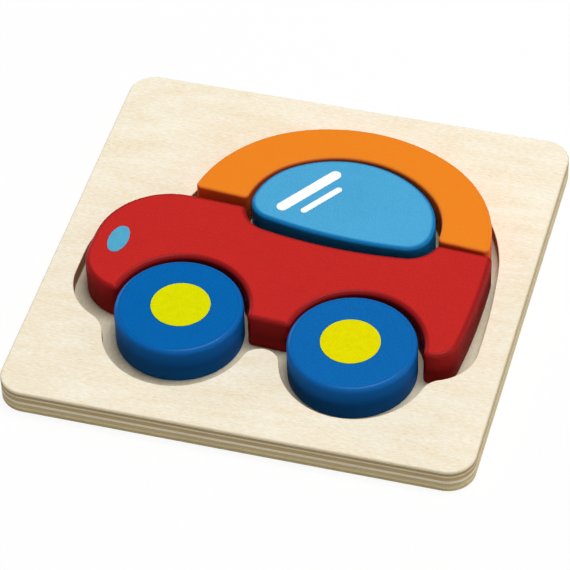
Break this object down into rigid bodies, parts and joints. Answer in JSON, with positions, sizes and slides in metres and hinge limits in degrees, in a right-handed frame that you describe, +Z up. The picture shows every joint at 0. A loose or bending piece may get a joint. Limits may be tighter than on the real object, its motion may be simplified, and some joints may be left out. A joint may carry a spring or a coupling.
{
  "type": "wooden tray puzzle",
  "caption": "Square plywood tray with a car-shaped recess and loose painted wooden blocks, lifted out by hand, that make up the car's roof, window, body and wheels.",
  "frame": {"origin": "middle of the board's underside, on the surface the board lies on", "axes": "+X from the car's nose towards its tail, +Y from its wheels towards its roof, +Z up out of the board"},
  "size_m": [0.18, 0.18, 0.0191],
  "materials": {
    "face_veneer": "pale sanded veneer, bare, fine grain",
    "pale_veneer": "sawn veneer edge, long grain",
    "dark_veneer": "sawn veneer edge, end grain",
    "orange_paint": "opaque satin paint on wood",
    "light_blue_paint": "opaque satin paint on wood",
    "red_paint": "opaque satin paint on wood",
    "blue_paint": "opaque satin paint on wood",
    "white_ink": "printed ink film",
    "light_blue_ink": "printed ink film",
    "yellow_ink": "printed ink film"
  },
  "bodies": {
    "board": {"base_back_veneer": "dark_veneer", "base_core_veneer": "pale_veneer", "base_face_veneer": "face_veneer", "frame_back_veneer": "pale_veneer", "frame_lower_crossband": "dark_veneer", "frame_core_veneer": "pale_veneer", "frame_upper_crossband": "dark_veneer", "frame_face_veneer": "face_veneer"},
    "roof": {"roof_block": "orange_paint"},
    "window": {"window_block": "light_blue_paint", "long_glint_print": "white_ink", "short_glint_print": "white_ink"},
    "car_body": {"body_block": "red_paint", "headlight_print": "light_blue_ink"},
    "front_wheel": {"front_wheel_block": "blue_paint", "front_hub_print": "yellow_ink"},
    "rear_wheel": {"rear_wheel_block": "blue_paint", "rear_hub_print": "yellow_ink"}
  },
  "joints": [
    {"name": "roof_lift", "type": "slide", "parent": "board", "child": "roof", "axis": [0, 0, 1], "range_m": [0, 0.04]},
    {"name": "window_lift", "type": "slide", "parent": "board", "child": "window", "axis": [0, 0, 1], "range_m": [0, 0.04]},
    {"name": "body_lift", "type": "slide", "parent": "board", "child": "car_body", "axis": [0, 0, 1], "range_m": [0, 0.04]},
    {"name": "front_wheel_lift", "type": "slide", "parent": "board", "child": "front_wheel", "axis": [0, 0, 1], "range_m": [0, 0.04]},
    {"name": "rear_wheel_lift", "type": "slide", "parent": "board", "child": "rear_wheel", "axis": [0, 0, 1], "range_m": [0, 0.04]}
  ]
}
